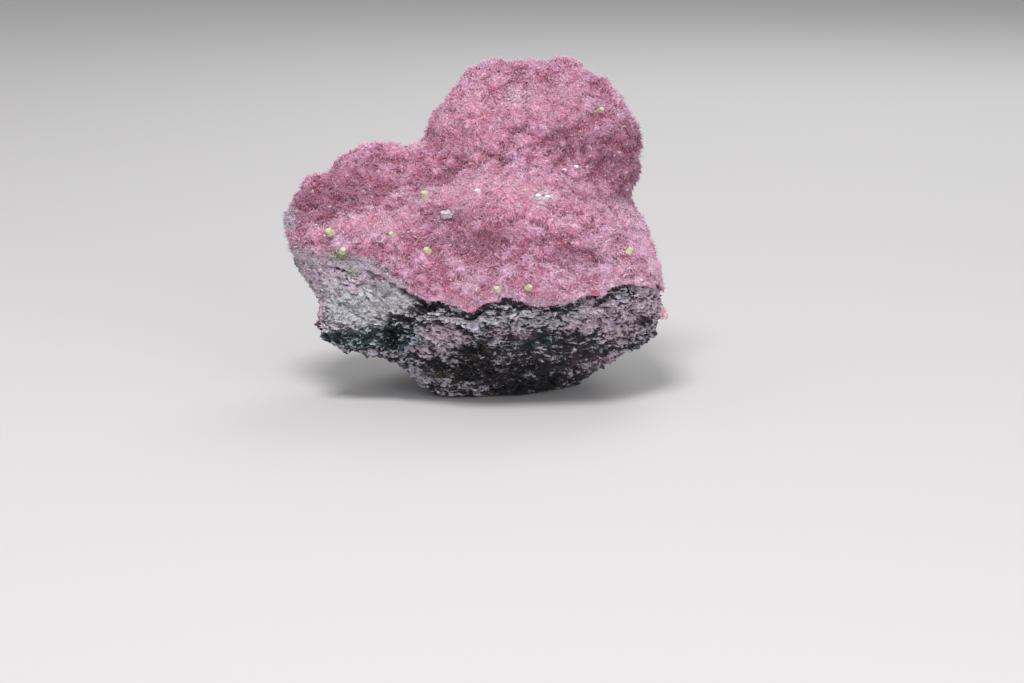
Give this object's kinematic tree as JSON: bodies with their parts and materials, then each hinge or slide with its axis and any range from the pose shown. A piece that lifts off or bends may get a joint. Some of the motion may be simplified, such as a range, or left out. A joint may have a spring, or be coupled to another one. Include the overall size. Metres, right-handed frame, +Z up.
{
  "type": "axinite mineral specimen",
  "caption": "Broken rock matrix overgrown on one side by a thick crust of fine pink needle crystals, with stubby yellow-green, white and clear crystals set in the crust",
  "frame": {"origin": "under the middle of the specimen's box, on the plane that it rests on", "axes": "+X to the right and -Y towards the viewer of the display side, +Z up"},
  "size_m": [0.126, 0.0972, 0.1045],
  "materials": {
    "matrix_rock": "rough broken rock, light grey to black with mauve and ochre patches",
    "pink_crystal": "velvety mass of fine glassy needles",
    "yellow_green_crystal": "waxy to glassy, slightly translucent",
    "white_crystal": "milky, satin",
    "clear_crystal": "clear and glassy with flat faces"
  },
  "bodies": {
    "root": {"matrix": "matrix_rock", "pink_crust": "pink_crystal", "pink_nub": "pink_crystal", "yellow_green_crystal_1": "yellow_green_crystal", "yellow_green_crystal_2": "yellow_green_crystal", "yellow_green_crystal_3": "yellow_green_crystal", "yellow_green_crystal_4": "yellow_green_crystal", "yellow_green_crystal_5": "yellow_green_crystal", "yellow_green_crystal_6": "yellow_green_crystal", "yellow_green_crystal_7": "yellow_green_crystal", "yellow_green_crystal_8": "yellow_green_crystal", "yellow_green_crystal_9": "yellow_green_crystal", "white_crystal_1": "white_crystal", "clear_crystal_1": "clear_crystal", "clear_crystal_2": "clear_crystal", "clear_crystal_3": "clear_crystal", "clear_crystal_4": "clear_crystal", "clear_crystal_5": "clear_crystal"}
  },
  "joints": []
}
